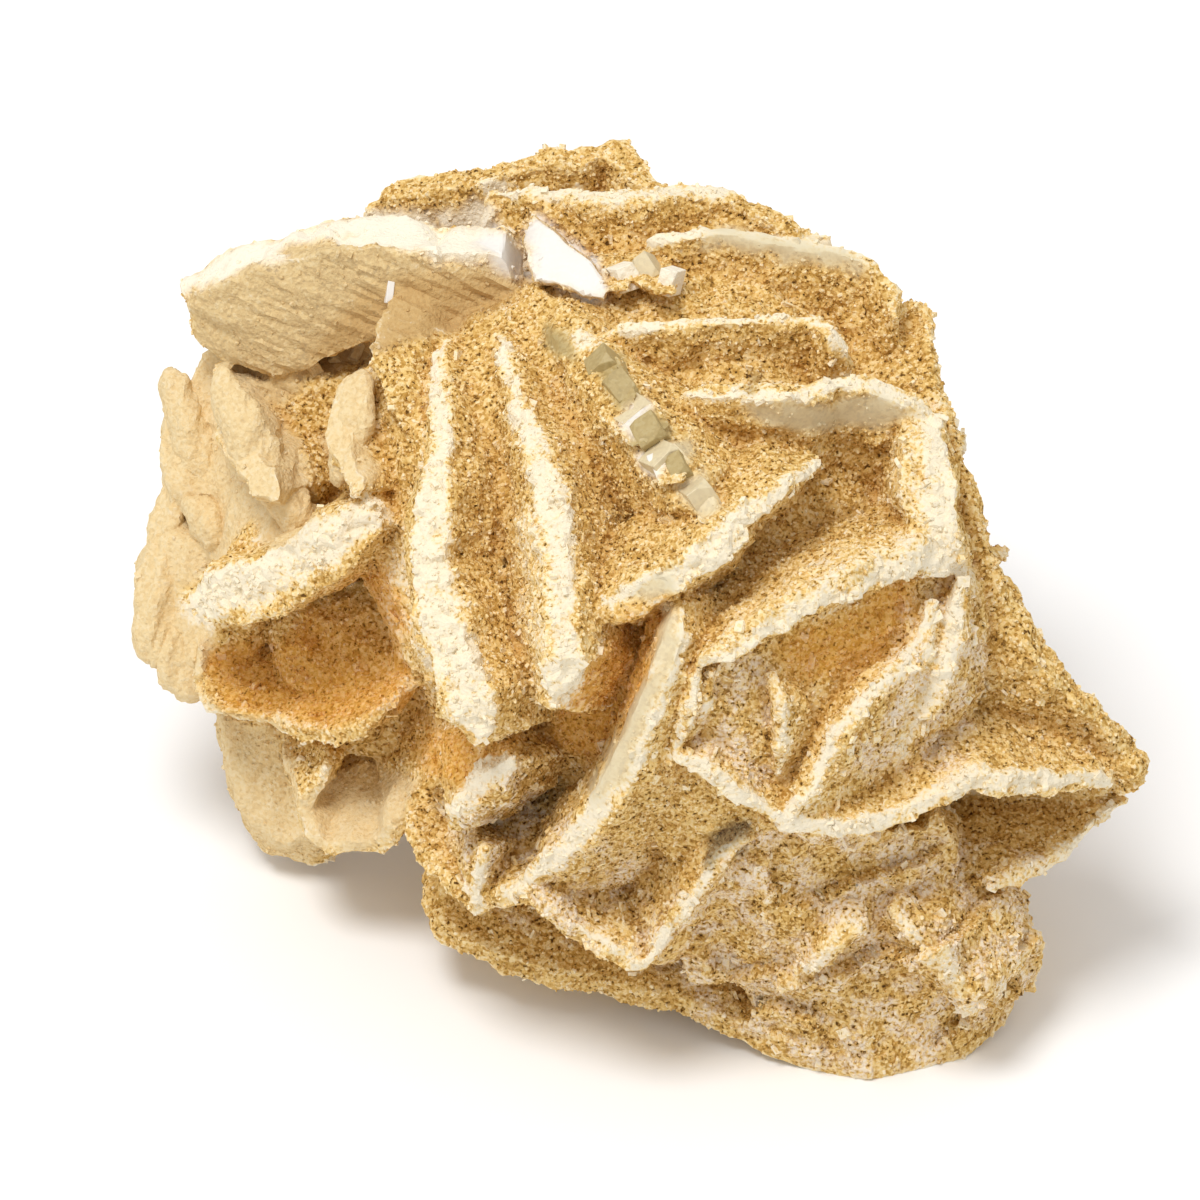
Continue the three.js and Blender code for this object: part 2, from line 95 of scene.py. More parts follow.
def ease(low, high, values):
    share = np.clip((values - low) / (high - low), 0, 1)
    return share * share * (3 - 2 * share)


# Helpers for objects and modifiers
def onlySelect(obj):
    if bpy.context.object and bpy.context.object.mode != "OBJECT":
        bpy.ops.object.mode_set(mode="OBJECT")
    bpy.ops.object.select_all(action="DESELECT")
    obj.select_set(True)
    bpy.context.view_layer.objects.active = obj


def applyModifier(obj, kind, **settings):
    onlySelect(obj)
    modifier = obj.modifiers.new(kind.lower(), kind)
    for name, value in settings.items():
        setattr(modifier, name, value)
    bpy.ops.object.modifier_apply(modifier=modifier.name)


def trianglesOf(obj):
    return sum(len(face.vertices) - 2 for face in obj.data.polygons)


def meshArrays(obj):
    mesh = obj.data
    points = np.empty(len(mesh.vertices) * 3, np.float32)
    normals = np.empty(len(mesh.vertices) * 3, np.float32)
    edges = np.empty(len(mesh.edges) * 2, np.int32)
    mesh.vertices.foreach_get("co", points)
    mesh.vertices.foreach_get("normal", normals)
    mesh.edges.foreach_get("vertices", edges)
    points, normals = (values.reshape(-1, 3).astype(float) for values in (points, normals))
    return points, normals, edges.reshape(-1, 2)


def smoothed(values, edges, rounds, spread=0.6):
    a, b = edges.T
    size = len(values)
    count = np.maximum(np.bincount(a, minlength=size) + np.bincount(b, minlength=size), 1)
    for _ in range(rounds):
        around = np.bincount(a, values[b], size) + np.bincount(b, values[a], size)
        values = (1 - spread) * values + spread * around / count
    return values


# How far each point stands out of the smoothed surface, in mm
def standsOut(obj, points, normals, rounds):
    onlySelect(obj)
    bpy.ops.object.duplicate()
    soft = bpy.context.object
    applyModifier(soft, "SMOOTH", factor=0.6, iterations=rounds)
    drop = ((points - meshArrays(soft)[0]) * normals).sum(1) / mm
    bpy.data.objects.remove(soft)
    return drop


# Noise vectors in mm, from steps of size and reach
def ragged(points, steps):
    shift = np.zeros_like(points)
    for size, reach in steps:
        spots = (points / (size * mm)).tolist()
        shift += reach * np.array([noise.noise_vector(spot) for spot in spots])
    return shift


def inside(right, up, corners):
    hit = np.zeros(len(right), bool)
    for (ax, ay), (bx, by) in zip(corners, corners[1:] + corners[:1]):
        crosses = (ay > up) != (by > up)
        edgeAt = ax + (up - ay) * (bx - ax) / (by - ay if by != ay else 1)
        hit ^= crosses & (right < edgeAt)
    return hit


# Where the finish differs or light and shade are painted, as outlines on the show side
finishPatches = {
    "fresh": [
        [(-15, 38.8), (-13.5, 38.4), (-12, 36.6), (-10.5, 33), (-14.5, 33.7), (-15.3, 37)],
        [(-10.7, 39.6), (-8, 37.5), (-4.5, 34.8), (-3, 32), (-3.2, 30.8), (-5, 30.5), (-7, 31.5),
         (-10.3, 33),
         (-11.5, 37)],
        [(-2.6, 18.6), (1, 20.6), (1.8, 20), (-1, 17.4)],
        [(0, 15.2), (3.4, 16.6), (3, 14), (1.4, 12.4)],
    ],
    "glassy": [
        [(3.4, 16.8), (5.2, 16), (5, 13.4), (3, 13.8)],
        [(4.2, 11.5), (6.5, 13.2), (8, 11), (7.5, 9.7), (6, 9), (5, 9.5)],
        [(-1, 1), (2.5, 4), (3.6, 3.6), (3.2, 1.6), (1, 0.3)],
        [(2.6, 0), (4.4, 0), (3, -5), (0.6, -11.6), (-2.6, -18.6), (-4.6, -20.6), (-5, -18.4),
         (-1.4, -11)],
        [(10, 20.8), (18, 20.6), (24, 21.6), (27, 19.6), (24, 18.4), (17, 18.4), (11, 19)],
        [(7, 37.4), (17, 36.4), (22, 35), (22, 33.6), (15, 34.6), (7, 35.6)],
    ],
    # dark olive gypsum, with painted shade on alternate facets
    "smoky": [
        [(-4.5, 25), (-2.4, 25.2), (-1, 23), (0, 21), (-1, 20), (-3.4, 20.4)],
        [(-1, 17.4), (1.8, 20), (3.3, 18.2), (2.4, 16.8), (-1, 16)],
        [(-9.6, 28.6), (-7.4, 27.6), (-6.4, 25), (-7.8, 24.8), (-9, 26)],
    ],
    "chalk": [
        [(-47, 31), (-44, 35.6), (-37, 37.8), (-28, 39.8), (-15, 40.2), (-15, 34), (-20, 34.2),
         (-26, 36.5),
         (-30, 37.5), (-36, 34.6), (-42.7, 32.4)],
    ],
    "cream": [
        [(-53, 24), (-44, 27), (-40, 23), (-38, 16), (-39, 9), (-41, 6), (-46, 2), (-43, -2),
         (-44, -7), (-53, -8)],
        [(-43, 24), (-40, 24), (-34, 17), (-32, 10), (-34, 5.5), (-37, 6), (-41, 13)],
        [(-27, 24.5), (-30, 21), (-31.5, 17), (-29.5, 12.5), (-27, 12), (-26.5, 16), (-27.5, 20)],
        [(-46, -7), (-40, -10.6), (-36, -12), (-34.6, -15), (-34.4, -20), (-32, -27), (-40, -27),
         (-47, -14)],
        [(-34, -19), (-27, -15), (-22, -18), (-25, -23), (-30, -25), (-34, -23)],
    ],
    "greyTan": [
        [(-46.4, 30.6), (-42.7, 32.3), (-36, 34.5), (-30, 37.3), (-26, 36.3), (-20, 34), (-11, 33),
         (-14, 30),
         (-20, 27), (-25, 26), (-33, 23), (-35.5, 20.6), (-40, 22), (-45.6, 27.5)],
    ],
    # painted shade on the underside of the top-left plate
    "underPlate": [
        [(-33, 24), (-29, 31), (-23, 33.4), (-17, 33), (-11, 32.6), (-13, 30), (-19, 27), (-25, 25.6)],
    ],
    # orange sand with painted shade, in the basin under the tongue and in hollows under the sill and crests
    "ochre": [
        [(-44, -4), (-41, -3), (-36, -3), (-30, 3), (-25, 5), (-23, 0), (-22, -8), (-27, -11),
         (-33, -12),
         (-41, -10)],
        [(13, -4), (20, 0), (27, 3), (27, 0), (22, -6), (17, -7)],
        [(-6, -6), (-1, -1), (3, 1), (0, -8), (-4, -15), (-9, -12)],
        [(-24, -8), (-20, -11), (-15, -13.4), (-12, -12), (-16, -19), (-24, -14)],
    ],
    "stepped": [
        [(10, -25), (20, -24), (29, -23), (38, -29), (40, -35), (34, -43), (24, -46), (8, -40),
         (5, -32)],
    ],
    "crust": [
        [(13, -20), (29, -22), (40, -24), (42, -34), (34, -45), (24, -48), (6, -42), (-4, -33),
         (4, -28)],
        [(5, -7), (12, -4), (13, -10), (13, -19), (4, -14)],
        [(20, -16), (32, -17), (34, -4), (33, 6), (27, 5), (24, -7)],
        [(-20, -19), (-13, -14), (-8, -20), (2, -26), (2, -36), (-6, -34), (-16, -30)],
    ],
    # dark grey-brown blots at two given places
    "stain": [
        [(5.6, -24.6), (8.6, -21.4), (11.4, -21.2), (10.6, -23), (7.4, -25.6)],
        [(10.4, 22.8), (11, 23.6), (11.8, 23.2), (11.6, 22.4), (10.8, 22.2)],
    ],
}

# Pale bands along the crests: right, up and width
crustedCrests = [
    [(-19.3, 27.4, 1.2), (-19.9, 24, 1.6), (-20, 20, 2), (-20, 16, 2.4), (-20.2, 12, 3.4),
     (-20.8, 8, 4.8),
     (-21, 4, 4.8), (-19.8, 0, 5.2), (-18.2, -4.5, 5.4), (-16.8, -9, 4.6), (-15.4, -12.4, 2.6)],
    [(-13.4, 27.3, 0.7), (-12.7, 23.4, 0.9), (-12, 20.5, 1.6), (-10.4, 16, 2.6), (-9, 11, 3),
     (-8.2, 6, 3.2),
     (-7.6, 1, 2.8), (-7.2, -4, 2.6), (-8, -8.4, 3)],
    [(3.4, 3.4, 3), (6, 5, 4), (8.5, 6.6, 4.4), (10.4, 9, 3), (14, 12, 1.4), (17.4, 14.2, 0.8)],
    [(6, -5.6, 1), (9, -4, 1.4), (12.5, -2.2, 1.8), (16, -0.2, 2), (20, 1.6, 2.2), (24, 3.4, 2.4),
     (27.5, 4.6, 2.6), (30.5, 4.8, 2.8), (32.6, 3.6, 2)],
    [(28.2, 19.6, 3), (28.6, 16, 4), (29.2, 12, 4.2), (30, 8, 4.2), (31, 5, 3.4)],
    [(25.2, -14.6, 1.4), (27, -10.6, 2), (29.4, -6.6, 3.4), (30.4, -2, 3.4), (31, 2, 2.4)],
    [(-18.8, -19.6, 2.4), (-16, -17, 2.6), (-13.6, -15.2, 2)],
    [(-43.6, 0.6, 4.4), (-38, 3.4, 6), (-32, 6.6, 5.4), (-26, 9.8, 3.6)],
    [(30, -18, 1.6), (33, -17.2, 2.6), (37, -17.2, 2.6), (41, -17, 1.6)],
]
# Pale sides beside the crests, partly pale crust and partly painted light on the sides facing the key
# light: right, up and width
paleAndLitSlopes = [
    [(-24.4, 7, 2.6), (-24.6, 1, 3.2), (-22.6, -6, 3.4), (-20, -10.6, 2.6)],
    [(-11.6, 9, 2), (-11, 3, 2.8), (-10.4, -2, 2.6), (-10, -6.4, 2.8)],
    [(7, -4, 2), (11, -1, 2.8), (15, 1.8, 3.2), (19, 4, 3.6), (23, 5.8, 3.4), (27, 7.2, 3.6)],
    [(26.4, 18.4, 2.4), (26, 14, 3.2), (26.2, 10, 3.4), (27.4, 7, 3.4)],
    [(23.6, -6.4, 2.4), (26.6, -2.4, 3)],
    [(-4, -32.4, 3), (0, -31.6, 3)],
    [(16, -19, 2), (22, -18.4, 2.2), (27, -16.6, 2)],
]
cleanCrests = [
    [(2.2, -0.2, 0.7), (-1.2, -9, 0.8), (-5, -18.6, 0.8)],
    [(4.8, 0, 0.6), (3.4, -5, 0.6), (1, -11.6, 0.6), (-2.2, -18.4, 0.6)],
    [(5.4, -6, 0.8), (4.2, -10, 0.9), (2.4, -15.4, 0.9)],
    [(8, -6.4, 0.8), (6.4, -9, 0.8), (5, -12, 0.7)],
    [(-4.4, 0.2, 1.4), (-2, 1.2, 1.6), (0, 2.4, 1), (4, 5, 1)],
    [(5, 21, 1), (8, 21.7, 1.2), (12, 21.6, 1.6), (16, 21.6, 1.4), (19, 22.6, 1.2), (23, 22.3, 1.2),
     (27, 20.8, 1.2), (29.5, 19.4, 1.4)],
    [(-6, 27, 2.2), (-2, 27.8, 1.6), (4, 28.4, 1.2), (10, 29.2, 1), (15, 29.5, 0.9), (18.4, 28.4, 1),
     (20.6, 25.4, 0.8)],
    [(0.5, 36.8, 1), (7, 37.2, 1.2), (13, 36.9, 1.2), (17, 36.4, 1.2), (22, 35, 0.8)],
    [(-15.3, 42, 1.8), (-10, 41.6, 1.8), (-5, 41.2, 2.2), (0, 41.2, 2), (4, 41.8, 1.4), (8, 41.4, 1)],
    [(3.2, -14.8, 1.8), (7, -16.4, 2), (10.5, -18.4, 2), (13.4, -20.2, 1.8)],
    [(14.6, -20.4, 1.6), (17, -16.6, 1.4), (19.6, -12, 1.4), (22, -9.2, 1.6), (25.4, -5.6, 1.4),
     (28, -1.8, 1.6), (28.6, 2, 1.4)],
    [(14.6, -21.6, 1.8), (20, -21.4, 2), (25, -20.6, 2), (29, -18.8, 2)],
    [(41, -17, 1.4), (44, -16.8, 1.2), (47, -17, 0.8)],
    [(-3.2, -19, 2.2), (-6, -22.4, 2.2), (-9, -25, 1.8), (-13, -28.4, 1.2)],
    [(-16, -29.6, 1.2), (-15.6, -25, 1)],
    [(0.4, -35.2, 2), (-3, -33.4, 1.6), (-6, -31.6, 1)],
    [(0.6, -35, 1.4), (3, -31.6, 1.2), (6, -27.4, 1), (9, -24, 0.8)],
]
faintCrests = [
    [(47.4, -18.4, 1), (43.4, -23, 1.4), (39, -26, 1.6), (35, -28, 1.4)],
    [(13.1, -6.2, 0.8), (13.8, -9.4, 0.9), (13.5, -12, 0.8), (13.6, -16.4, 0.6)],
    [(14.2, -37.4, 0.8), (18, -34.4, 0.8), (21.6, -31, 0.8)],
    [(25, -29.6, 0.9), (28.4, -33, 1.3), (31.4, -37, 1.5), (33.2, -40.2, 1.3)],
    [(38.4, -32.2, 1), (37.6, -35.6, 1), (35, -38.6, 0.8)],
]

bandEdge = {"solid": 0.6, "gone": 1.2, "soft": 0.3}  # shares of the half width, and mm


def alongBands(right, up, bands):
    cover = np.zeros(len(right))
    for band in bands:
        for (ax, ay, aWide), (bx, by, bWide) in zip(band, band[1:]):
            length = (bx - ax) ** 2 + (by - ay) ** 2
            share = np.clip(((right - ax) * (bx - ax) + (up - ay) * (by - ay)) / length, 0, 1)
            away = np.hypot(right - ax - share * (bx - ax), up - ay - share * (by - ay))
            half = 0.5 * (aWide + share * (bWide - aWide))
            low = bandEdge["solid"] * half
            high = bandEdge["gone"] * half + bandEdge["soft"]
            cover = np.maximum(cover, 1 - ease(low, high, away))
    return cover


# Where one finish gives way to the next: the two ends of each soft edge, in mm or as a share of facing
finishEdges = {
    "shown": (-0.1, 0.15),
    "depth": (-26, -16),
    "faced": (0.05, 0.3),
    "fineRim": (0.07, 0.3),
    "broadRim": (0.2, 0.8),
    "crustedRise": (-0.6, 0.1),
    "crispRise": (-0.1, 0.3),
    "hollow": (0.15, 2.2),
    "crease": (0.04, 0.4),
    "foot": (0.6, 3),
}
finishSettings = {
    "fineRounds": 26,
    "broadRounds": 170,
    "raggedSteps": [(7, 0.9), (2.6, 0.8), (0.9, 0.5)],
    "paleAndLitSlopes": 0.5,
    "faintCrests": 0.7,
    "shownRim": 0.55,
    "softRounds": 12,
    "crispRounds": 3,
    "softPatches": ("ochre", "crust", "stepped", "underPlate"),
    "sandOffSmooth": 0.93,
    "sandOffRim": 0.75,
    "gritOffSmooth": 0.8,
    "gritOffCrest": 0.6,
}


def finishMasks(obj):
    def eased(edge, values):
        return ease(*finishEdges[edge], values)

    settings = finishSettings
    points, normals, edges = meshArrays(obj)
    right, up, near = layoutOf(points)
    facing = layoutOf(normals * mm + np.array([0, 0, showSide["centreHeight"] * mm]))[2]
    shown = eased("shown", facing) * eased("depth", near - domeDepth(right, up))
    fine = standsOut(obj, points, normals, settings["fineRounds"])
    broad = standsOut(obj, points, normals, settings["broadRounds"])
    proudRim = eased("fineRim", fine) * eased("broadRim", broad + fine)
    rough = ragged(points, settings["raggedSteps"])
    right, up = right + rough[:, 0], up + rough[:, 1]
    # crust on the crests, and painted light on the crest sides that face the key light
    crusted = np.maximum(alongBands(right, up, crustedCrests),
                         settings["paleAndLitSlopes"] * alongBands(right, up, paleAndLitSlopes))
    faced = shown * eased("faced", facing)  # so that no band smears down a wall seen edge on
    crusted = crusted * faced * eased("crustedRise", broad)
    crisp = alongBands(right, up, cleanCrests)
    crisp = crisp + settings["faintCrests"] * alongBands(right, up, faintCrests)
    crisp = np.minimum(crisp, 1) * faced * eased("crispRise", broad)
    masks = {
        # the rim mask also takes in the painted light on the lit crest sides
        "rim": np.maximum(proudRim * (1 - settings["shownRim"] * shown), np.maximum(crusted, crisp)),
        "crusted": crusted,
        # painted shade: the hollow mask darkens the colour in broad recesses
        "hollow": eased("hollow", -broad),
        # painted shade: the crease mask darkens the colour in fine creases
        "crease": eased("crease", -fine),
        "shown": shown,
        "facing": np.clip(facing, 0, 1),
    }
    for finish, patches in finishPatches.items():
        cover = np.zeros(len(points))
        for corners in patches:
            cover = np.maximum(cover, inside(right, up, corners))
        rounds = settings["softRounds"] if finish in settings["softPatches"] else settings["crispRounds"]
        masks[finish] = smoothed(cover * shown, edges, rounds)
    clean = np.maximum(np.maximum(masks["fresh"], masks["glassy"]), masks["smoky"])
    masks["clean"] = clean
    masks["above"] = eased("foot", points[:, 2] / mm)  # the foot stays flat
    masks["chipped"] = np.clip(masks["rim"] - clean, 0, 1)
    smooth = np.maximum(np.maximum(masks["cream"], masks["chalk"]), masks["greyTan"])
    masks["sandy"] = np.clip(1 - clean - settings["sandOffSmooth"] * smooth
                             - settings["sandOffRim"] * np.maximum(crisp, masks["rim"]), 0, 1)
    masks["rough"] = np.clip(1 - clean - settings["gritOffSmooth"] * smooth
                             - settings["gritOffCrest"] * crisp, 0, 1)
    masks["folded"] = np.maximum(masks["cream"], masks["chalk"])
    for name in ("chipped", "rough", "crusted", "sandy", "folded", "stepped"):
        masks[name] = masks[name] * masks["above"]
    return masks


def storeAttribute(obj, name, values):
    attribute = obj.data.attributes.new(name, "FLOAT", "POINT")
    attribute.data.foreach_set("value", values.astype(np.float32))


def weightGroup(obj, name, values, levels=16):
    group = obj.vertex_groups.new(name=name)
    steps = np.rint(np.clip(values, 0, 1) * levels).astype(int)
    for step in range(1, levels + 1):
        group.add(np.flatnonzero(steps == step).tolist(), step / levels, "REPLACE")


# The stone itself
roseStone = {
    "weld": 0.002,
    "voxel": 0.36,
    "triangles": 192000,
    "smoothAngle": 28,
    "wander": {"size": 9, "strength": 1.2},
    "chips": {"size": 2, "strength": 0.8},
    "sandLumps": {"size": 2.6, "strength": 1.5},
    "lumps": {"size": 1.2, "strength": 0.8},
    "grit": {"size": 0.7, "strength": 0.45},
    "flutes": {"size": 1, "strength": 1.3, "stretch": (7, 0.9, 4), "turn": -24},
    "folds": {"size": 1, "strength": 2.4, "stretch": (2.6, 12, 6), "turn": -14},
    "ledges": {"size": 0.3, "strength": 1.7, "stretch": (50, 20, 40), "turn": 34, "wave": 9},
}

# The mask that holds each relief, in the order they are laid on
reliefGroups = {
    "chips": "chipped",
    "sandLumps": "rough",
    "lumps": "crusted",
    "flutes": "greyTan",
    "folds": "folded",
    "ledges": "stepped",
    "grit": "rough",
}


def roughen(obj, name, group="", direction="NORMAL"):
    wanted = roseStone[name]
    if "wave" in wanted:  # sawtooth bands, broken by noise, stand as stepped plates
        texture = bpy.data.textures.new(name, "WOOD")
        texture.wood_type = "BANDNOISE"
        texture.noise_basis_2 = "SAW"
        texture.turbulence = wanted["wave"]
    else:
        texture = bpy.data.textures.new(name, "CLOUDS")
        texture.cloud_type = "COLOR" if direction == "RGB_TO_XYZ" else "GRAYSCALE"
        texture.noise_depth = 2
    texture.noise_scale = wanted["size"] * mm
    settings = {"texture_coords": "LOCAL"}
    # Streaks run down the face, so their pattern is measured along the show side's axes
    if "stretch" in wanted:
        texture.noise_scale = wanted["size"]
        bpy.ops.object.empty_add(location=(0, 0, 0))
        guide = bpy.context.object
        towards = Matrix.Rotation(math.radians(90 - showSide["elevation"]), 4, "X")
        guide.matrix_world = (towards @ Matrix.Rotation(math.radians(wanted["turn"]), 4, "Z")
                              @ Matrix.Diagonal((*[side * mm for side in wanted["stretch"]], 1)))
        bpy.context.view_layer.update()
        settings = {"texture_coords": "OBJECT", "texture_coords_object": guide}
    applyModifier(obj, "DISPLACE", texture=texture, strength=wanted["strength"] * mm, mid_level=0.5,
                  direction=direction, vertex_group=group, **settings)
    if "stretch" in wanted:
        bpy.data.objects.remove(guide)


def makeStone():
    onlySelect(frame["nodes"]["sand_rose"])
    bpy.ops.object.duplicate()
    stone = bpy.context.object
    bpy.ops.object.parent_clear(type="CLEAR_KEEP_TRANSFORM")
    stone.name = stone.data.name = "roseStone"
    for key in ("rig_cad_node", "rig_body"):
        del stone[key]
    stone.data.materials.clear()
    bpy.ops.object.mode_set(mode="EDIT")
    bpy.ops.mesh.select_all(action="SELECT")
    bpy.ops.mesh.remove_doubles(threshold=roseStone["weld"] * mm)
    bpy.ops.object.mode_set(mode="OBJECT")
    applyModifier(stone, "REMESH", mode="VOXEL", voxel_size=roseStone["voxel"] * mm)
    print("stone remeshed:", trianglesOf(stone), "triangles")
    masks = finishMasks(stone)
    for name, values in masks.items():
        storeAttribute(stone, name, values)
    for name in ["above", *dict.fromkeys(reliefGroups.values())]:
        weightGroup(stone, name, masks[name])
    roughen(stone, "wander", "above", direction="RGB_TO_XYZ")
    for relief, group in reliefGroups.items():
        roughen(stone, relief, group)
    applyModifier(stone, "DECIMATE", ratio=roseStone["triangles"] / trianglesOf(stone))
    stone.vertex_groups.clear()
    bpy.ops.object.shade_smooth_by_angle(angle=math.radians(roseStone["smoothAngle"]))
    print("stone roughened:", trianglesOf(stone), "triangles")
    return stone


# Node trees: a wire is one output socket, and sums and products of wires become Math nodes
class Wire:
    def __init__(self, tree, socket=None):
        self.tree = tree
        self.socket = socket

    def make(self, kind, settings=None, sockets=None, out=0):
        node = self.tree.nodes.new(kind)
        for name, value in (settings or {}).items():
            if name == "stops":
                self.setStops(node.color_ramp, value)
            else:
                setattr(node, name, value)
        for name, value in (sockets or {}).items():
            if isinstance(value, Wire):
                self.tree.links.new(value.socket, node.inputs[name])
            else:
                node.inputs[name].default_value = value
        return Wire(self.tree, node.outputs[out] if len(node.outputs) else None)

    def setStops(self, ramp, stops):
        while len(ramp.elements) < len(stops):
            ramp.elements.new(1)
        for element, (place, colour) in zip(ramp.elements, stops):
            element.position = place
            element.color = colour

    def maths(self, operation, a, b):
        return self.make("ShaderNodeMath", {"operation": operation}, {0: a, 1: b})

    def __add__(self, other):
        return self.maths("ADD", self, other)

    def __radd__(self, other):
        return self.maths("ADD", other, self)

    def __sub__(self, other):
        return self.maths("SUBTRACT", self, other)

    def __rsub__(self, other):
        return self.maths("SUBTRACT", other, self)

    def __mul__(self, other):
        return self.maths("MULTIPLY", self, other)

    def __rmul__(self, other):
        return self.maths("MULTIPLY", other, self)

    def between(self, low, high):
        sockets = {"Value": self, "From Min": low, "From Max": high}
        return self.make("ShaderNodeMapRange", {"interpolation_type": "SMOOTHSTEP"}, sockets)

    def attribute(self, name):
        return self.make("ShaderNodeAttribute", {"attribute_name": name}, out="Fac")

    def noise(self, place, size, detail=2):
        sockets = {"Vector": place, "Scale": 1 / (size * mm), "Detail": detail}
        return self.make("ShaderNodeTexNoise", {}, sockets, out="Fac")

    def cells(self, place, size):
        sockets = {"Vector": place, "Scale": 1 / (size * mm)}
        return self.make("ShaderNodeTexVoronoi", {}, sockets, out="Color")

    def channel(self, name):
        return self.make("ShaderNodeSeparateColor", {}, {"Color": self}, out=name)

    def blend(self, share, first, second, how="MIX"):
        settings = {"data_type": "RGBA", "blend_type": how}
        return self.make("ShaderNodeMix", settings, {0: share, 6: first, 7: second}, out=2)


def tint(red, green, blue):
    linear = [c / 12.92 if c <= 0.04045 else ((c + 0.055) / 1.055) ** 2.4
              for c in (red / 255, green / 255, blue / 255)]
    return (*linear, 1)


gypsumColours = {
    # the darkest tone of the ramp, reached by the painted shade in pores
    "darkestSand": tint(104, 70, 24),
    "ochre": tint(191, 146, 69),
    "sand": tint(229, 193, 121),
    "pale": tint(242, 219, 168),
    "cream": tint(246, 231, 200),
    # painted shade: the next two colours darken hollows and creases
    "hollow": tint(240, 217, 152),
    "crease": tint(214, 181, 122),
    # orange sand with painted shade, for the ochre patches
    "shadedBasin": tint(226, 160, 56),
    "lobe": tint(222, 199, 156),
    "chalk": tint(243, 233, 211),
    "rim": tint(238, 226, 200),
    "fresh": tint(234, 231, 226),
    "glassy": tint(214, 201, 168),
    # dark olive gypsum, with painted shade on alternate facets
    "smoky": tint(166, 148, 102),
    "greyTan": tint(210, 186, 142),
    # painted shade on the underside of the top-left plate
    "underPlate": tint(186, 146, 86),
    "crust": tint(238, 224, 206),
    "stain": tint(92, 84, 74),
}

gypsumLook = {
    "patchSize": 3,
    "gritSize": 0.45,
    "cellSize": 0.34,
    "pores": (0.36, 0.26),
    "tones": {"middle": 0.5, "patch": 0.25, "grit": 0.6, "cell": 0.36,
              "poreShade": 0.35, "rim": 0.3, "cream": 0.14},
    "stops": [(0.16, "darkestSand"), (0.38, "ochre"), (0.56, "sand"), (0.76, "pale"), (0.95, "cream")],
    "chalkPatches": (0.1, 0.4),
    "bloomPatches": (0.42, 0.62),
    "bloomGrit": (0.35, 0.65),
    "bloomShare": 0.85,
    "wornGrit": 1.7,
    "wornPatch": 1.3,
    "wornLevel": 0.55,
    "wornEdge": (0.3, 0.95),
    "wornShare": 0.9,
    "roughness": 0.92,
    "polish": 0.5,
    "poreDepth": 0.8,
    "bumpStrength": 0.8,
    "bumpDepth": 0.3,
    "specular": 0.3,
}

# Coats of colour in order: the mask, its colour, its share and how it mixes
sandCoats = [
    # painted shade, multiplied into broad hollows
    ("hollow", "hollow", 0.7, "MULTIPLY"),
    # painted shade, multiplied into fine creases
    ("crease", "crease", 0.6, "MULTIPLY"),
    # orange sand with painted shade in the basin and hollows under overhangs
    ("ochre", "shadedBasin", 0.5, "MIX"),
    ("cream", "lobe", 0.7, "MIX"),
    ("greyTan", "greyTan", 0.7, "MIX"),
    # painted shade on the underside of the top-left plate
    ("underPlate", "underPlate", 0.6, "MIX"),
]
crystalCoats = [
    ("glassy", "glassy", 0.85, "MIX"),
    # dark olive gypsum, with painted shade on alternate facets
    ("smoky", "smoky", 0.85, "MIX"),
    ("fresh", "fresh", 0.92, "MIX"),
    ("stain", "stain", 0.65, "MIX"),
]


def coated(wire, colour, coats):
    for mask, paint, share, how in coats:
        colour = wire.blend(wire.attribute(mask) * share, colour, gypsumColours[paint], how)
    return colour


def sandyGypsum():
    look, tones = gypsumLook, gypsumLook["tones"]
    material = bpy.data.materials.new("sandyGypsum")
    material.use_nodes = True
    material.node_tree.nodes.clear()
    wire = Wire(material.node_tree)
    place = wire.make("ShaderNodeTexCoord", out="Object")
    patchy = wire.noise(place, look["patchSize"])
    grit = wire.noise(place, look["gritSize"])
    packed = wire.cells(place, look["cellSize"]).channel("Red")
    pores = grit.between(*look["pores"]) * wire.attribute("sandy")
    tone = tones["middle"] + tones["patch"] * (patchy - 0.5) + tones["grit"] * (grit - 0.5)
    # painted shade: the pores, dented by the bump too, are darkened
    tone = tone + tones["cell"] * (packed - 0.5) - tones["poreShade"] * pores + wire.attribute("grainTone")
    tone = tone + tones["rim"] * wire.attribute("rim") + tones["cream"] * wire.attribute("cream")
    stops = [(at, gypsumColours[paint]) for at, paint in look["stops"]]
    colour = wire.make("ShaderNodeValToRGB", {"stops": stops}, {"Fac": tone})
    colour = coated(wire, colour, sandCoats)
    chalky = wire.attribute("chalk") * patchy.between(*look["chalkPatches"])
    colour = wire.blend(chalky, colour, gypsumColours["chalk"])
    bloom = wire.attribute("crust") * patchy.between(*look["bloomPatches"])
    bloom = bloom * grit.between(*look["bloomGrit"])
    colour = wire.blend(bloom * look["bloomShare"], colour, gypsumColours["crust"])
    # Rims are worn through in patches and pitted by the grit
    worn = wire.attribute("rim") + look["wornGrit"] * (grit - 0.5)
    worn = worn + look["wornPatch"] * (patchy - look["wornLevel"])
    colour = wire.blend(worn.between(*look["wornEdge"]) * look["wornShare"], colour, gypsumColours["rim"])
    colour = coated(wire, colour, crystalCoats)
    height = (grit - look["poreDepth"] * pores) * (1 - wire.attribute("clean"))
    bump = wire.make("ShaderNodeBump", {}, {
        "Strength": look["bumpStrength"], "Distance": look["bumpDepth"] * mm, "Height": height,
    }, out="Normal")
    shader = wire.make("ShaderNodeBsdfPrincipled", {}, {
        "Base Color": colour,
        "Roughness": look["roughness"] - look["polish"] * wire.attribute("clean"),
        "Normal": bump,
        "Specular IOR Level": look["specular"],
    })
    wire.make("ShaderNodeOutputMaterial", {}, {"Surface": shader})
    return material


